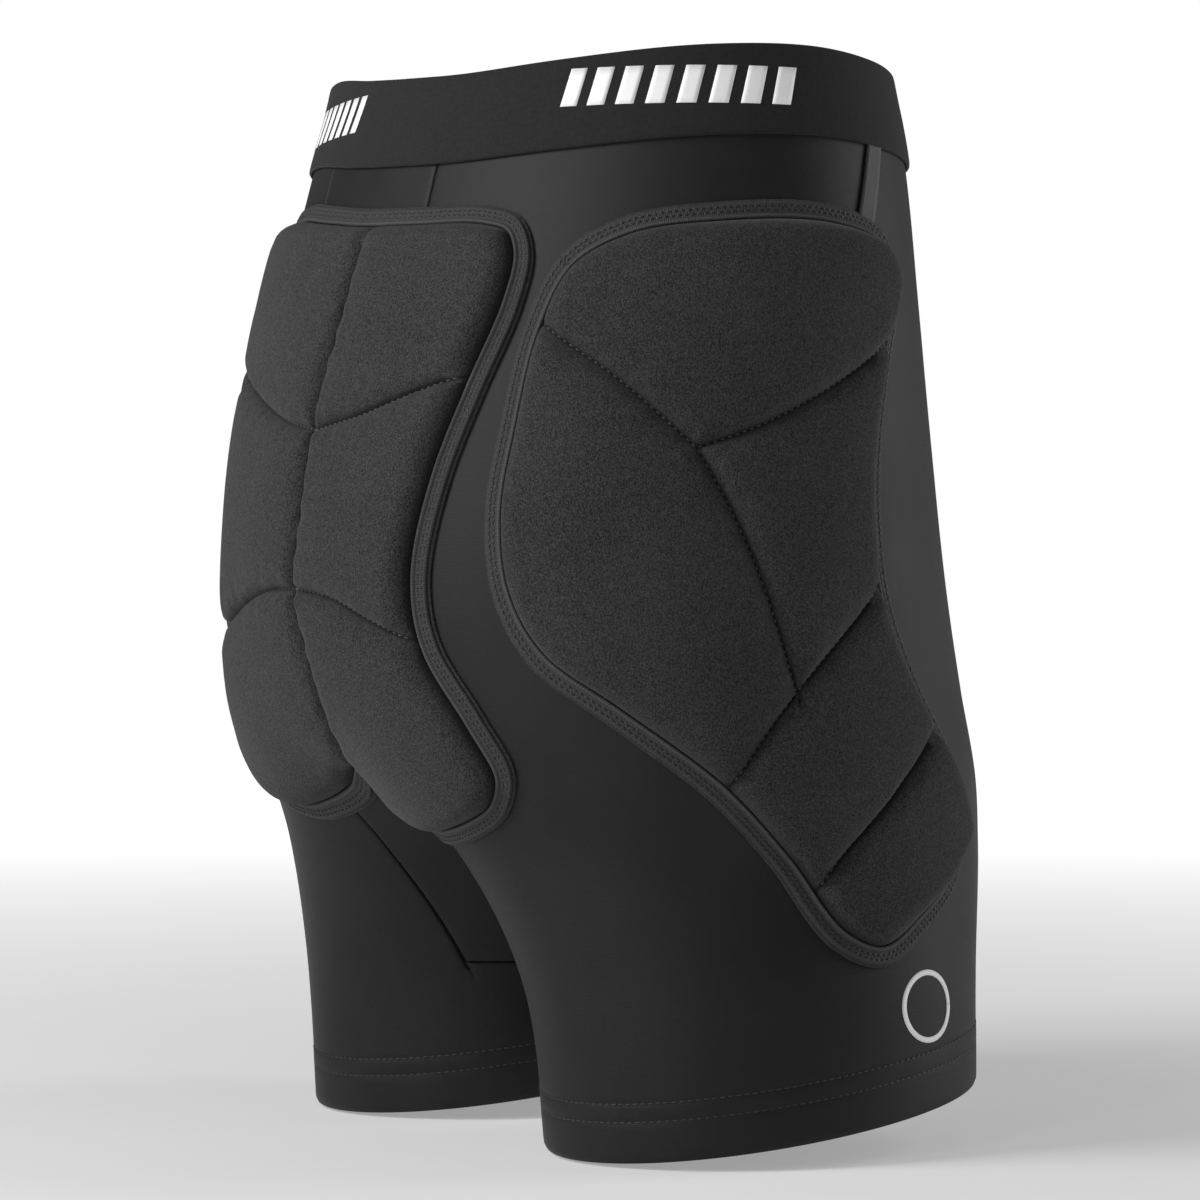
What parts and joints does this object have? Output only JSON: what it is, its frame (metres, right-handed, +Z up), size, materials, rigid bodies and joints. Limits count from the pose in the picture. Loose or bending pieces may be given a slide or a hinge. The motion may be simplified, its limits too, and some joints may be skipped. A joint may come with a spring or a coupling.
{
  "type": "padded impact shorts",
  "caption": "Close-fitting knit shorts with a wide elastic waistband and quilted foam impact pads over the tailbone, hips and outer thighs.",
  "frame": {"origin": "centre of the waist opening, level with the top of the waistband", "axes": "+Z up along the wearer's body, the front faces -Y, the wearer's right is -X"},
  "size_m": [0.3498, 0.2783, 0.4328],
  "materials": {
    "shell_knit": "smooth matte compression knit, black",
    "band_elastic": "brushed elastic webbing with fine ribs, charcoal",
    "pad_cover": "brushed heathered knit over foam, charcoal",
    "pad_binding": "flat binding tape with two rows of zigzag stitches",
    "pad_lining": "fine black mesh lining",
    "foam": "closed-cell padding foam, grey",
    "tab_tape": "narrow woven tape, grey",
    "print_ink": "matte white printed ink",
    "thread": "polyester sewing thread, black"
  },
  "bodies": {
    "root": {"crotch_gusset": "shell_knit", "hip_pad_left_backing": "pad_lining", "hip_pad_left_border": "pad_binding", "hip_pad_left_cover": "pad_cover", "hip_pad_left_foam_back": "foam", "hip_pad_left_foam_front": "foam", "hip_pad_left_foam_lower": "foam", "hip_pad_left_foam_middle": "foam", "hip_pad_left_foam_top": "foam", "hip_pad_right_backing": "pad_lining", "hip_pad_right_border": "pad_binding", "hip_pad_right_cover": "pad_cover", "hip_pad_right_foam_back": "foam", "hip_pad_right_foam_front": "foam", "hip_pad_right_foam_lower": "foam", "hip_pad_right_foam_middle": "foam", "hip_pad_right_foam_top": "foam", "shell_back": "shell_knit", "shell_front": "shell_knit", "shell_side_left": "shell_knit", "shell_side_right": "shell_knit", "tail_pad_backing": "pad_lining", "tail_pad_border": "pad_binding", "tail_pad_cover": "pad_cover", "tail_pad_foam_lower_left": "foam", "tail_pad_foam_lower_right": "foam", "tail_pad_foam_middle_left": "foam", "tail_pad_foam_middle_right": "foam", "tail_pad_foam_upper_left": "foam", "tail_pad_foam_upper_right": "foam", "waist_tab_left": "tab_tape", "waist_tab_right": "tab_tape", "waistband": "band_elastic"}
  },
  "joints": []
}
